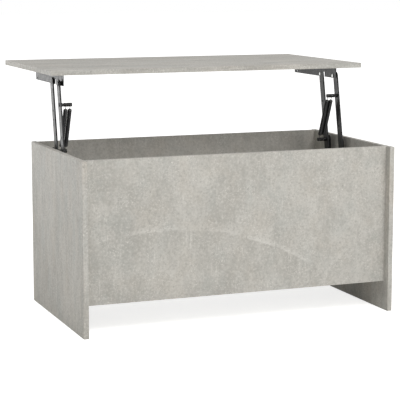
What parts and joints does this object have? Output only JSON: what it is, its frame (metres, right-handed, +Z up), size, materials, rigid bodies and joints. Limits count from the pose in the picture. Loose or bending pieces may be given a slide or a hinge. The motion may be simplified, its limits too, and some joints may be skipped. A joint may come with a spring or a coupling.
{
  "type": "lift top coffee table",
  "caption": "Rectangular coffee table with a hollow boarded base; its whole tabletop lifts level on sprung parallel arms over a storage space.",
  "frame": {"origin": "on the floor, at the centre of the rectangle that the two side panels stand on", "axes": "+X across the width to the right-hand side panel, +Y from the closed front panel to the sitter's side, which the tabletop lifts towards, +Z up; drawn with the tabletop raised"},
  "size_m": [1.02, 0.8095, 0.75],
  "materials": {
    "carcass_board": "matt concrete-look laminate on chipboard",
    "tabletop_board": "matt concrete-look laminate on chipboard",
    "dowel_wood": "plain turned beech",
    "zinc_fittings": "bright zinc plate",
    "screws": "zinc plate",
    "bearing_plastic": "moulded nylon",
    "rivets": "bright zinc plate",
    "spring_hooks": "bare spring wire",
    "springs": "blackened spring wire",
    "spring_studs": "black, satin",
    "arms": "black powder coat, satin",
    "brackets": "black powder coat, satin"
  },
  "bodies": {
    "carcass": {"side_panel_left": "carcass_board", "side_panel_right": "carcass_board", "front_panel": "carcass_board", "back_panel": "carcass_board", "storage_floor": "carcass_board", "cam_nuts": "zinc_fittings", "cam_bolts": "zinc_fittings", "dowels": "dowel_wood", "base_bracket_left": "brackets", "base_screws_left": "screws", "lower_bushes_left": "bearing_plastic", "front_lower_pin_left": "spring_studs", "rear_lower_stud_left": "spring_studs", "base_bracket_right": "brackets", "base_screws_right": "screws", "lower_bushes_right": "bearing_plastic", "front_lower_pin_right": "spring_studs", "rear_lower_stud_right": "spring_studs"},
    "front_arm_left": {"front_arm_left": "arms", "arm_stud_left": "spring_studs"},
    "rear_arm_left": {"rear_arm_left": "arms"},
    "front_arm_right": {"front_arm_right": "arms", "arm_stud_right": "spring_studs"},
    "rear_arm_right": {"rear_arm_right": "arms"},
    "lift_top": {"tabletop": "tabletop_board", "top_bracket_left": "brackets", "top_screws_left": "screws", "front_upper_pin_left": "rivets", "rear_upper_pin_left": "rivets", "upper_bush_left": "bearing_plastic", "upper_washers_left": "bearing_plastic", "top_bracket_right": "brackets", "top_screws_right": "screws", "front_upper_pin_right": "rivets", "rear_upper_pin_right": "rivets", "upper_bush_right": "bearing_plastic", "upper_washers_right": "bearing_plastic"},
    "spring_pair_left": {"outer_spring_left": "springs", "inner_spring_left": "springs"},
    "spring_ends_left": {"outer_spring_end_left": "spring_hooks", "inner_spring_end_left": "spring_hooks"},
    "spring_pair_right": {"outer_spring_right": "springs", "inner_spring_right": "springs"},
    "spring_ends_right": {"outer_spring_end_right": "spring_hooks", "inner_spring_end_right": "spring_hooks"}
  },
  "joints": [
    {"name": "lift", "type": "hinge", "parent": "carcass", "child": "front_arm_left", "pos_m": [-0.46325, 0.0245, 0.494], "axis": [1, 0, 0], "range_deg": [0, 105]},
    {"name": "front_arm_right_pivot", "type": "hinge", "parent": "carcass", "child": "front_arm_right", "pos_m": [0.46325, 0.0245, 0.494], "axis": [1, 0, 0], "range_deg": [0, 105.01]},
    {"name": "rear_arm_left_pivot", "type": "hinge", "parent": "carcass", "child": "rear_arm_left", "pos_m": [-0.45785, 0.1165, 0.494], "axis": [1, 0, 0], "range_deg": [0, 105.01]},
    {"name": "rear_arm_right_pivot", "type": "hinge", "parent": "carcass", "child": "rear_arm_right", "pos_m": [0.45785, 0.1165, 0.494], "axis": [1, 0, 0], "range_deg": [0, 105.01]},
    {"name": "lift_top_pivot", "type": "hinge", "parent": "front_arm_left", "child": "lift_top", "pos_m": [-0.46325, 0.06669, 0.70513], "axis": [1, 0, 0], "range_deg": [-105.01, 0]},
    {"name": "spring_pair_left_swing", "type": "hinge", "parent": "carcass", "child": "spring_pair_left", "pos_m": [-0.4383, 0.1165, 0.494], "axis": [1, 0, 0], "range_deg": [0, 69.35]},
    {"name": "spring_pair_left_stretch", "type": "slide", "parent": "spring_pair_left", "child": "spring_ends_left", "axis": [0, -0.39, 0.9208], "range_m": [0, 0.08213], "deforming": ["outer_spring_left", "inner_spring_left", "outer_spring_end_left", "inner_spring_end_left"]},
    {"name": "spring_pair_right_swing", "type": "hinge", "parent": "carcass", "child": "spring_pair_right", "pos_m": [0.4383, 0.1165, 0.494], "axis": [1, 0, 0], "range_deg": [0, 69.35]},
    {"name": "spring_pair_right_stretch", "type": "slide", "parent": "spring_pair_right", "child": "spring_ends_right", "axis": [0, -0.39, 0.9208], "range_m": [0, 0.08213], "deforming": ["outer_spring_right", "inner_spring_right", "outer_spring_end_right", "inner_spring_end_right"]}
  ],
  "couplings": [
    {"joint": "front_arm_right_pivot", "follows": "lift", "ratio": 1},
    {"joint": "rear_arm_left_pivot", "follows": "lift", "ratio": 1},
    {"joint": "rear_arm_right_pivot", "follows": "lift", "ratio": 1},
    {"joint": "lift_top_pivot", "follows": "lift", "ratio": -1},
    {"joint": "spring_pair_left_swing", "follows": "lift", "ratio": 0.66039},
    {"joint": "spring_pair_left_stretch", "follows": "lift", "m_per_rad": 0.044803},
    {"joint": "spring_pair_right_swing", "follows": "lift", "ratio": 0.66039},
    {"joint": "spring_pair_right_stretch", "follows": "lift", "m_per_rad": 0.044803}
  ]
}
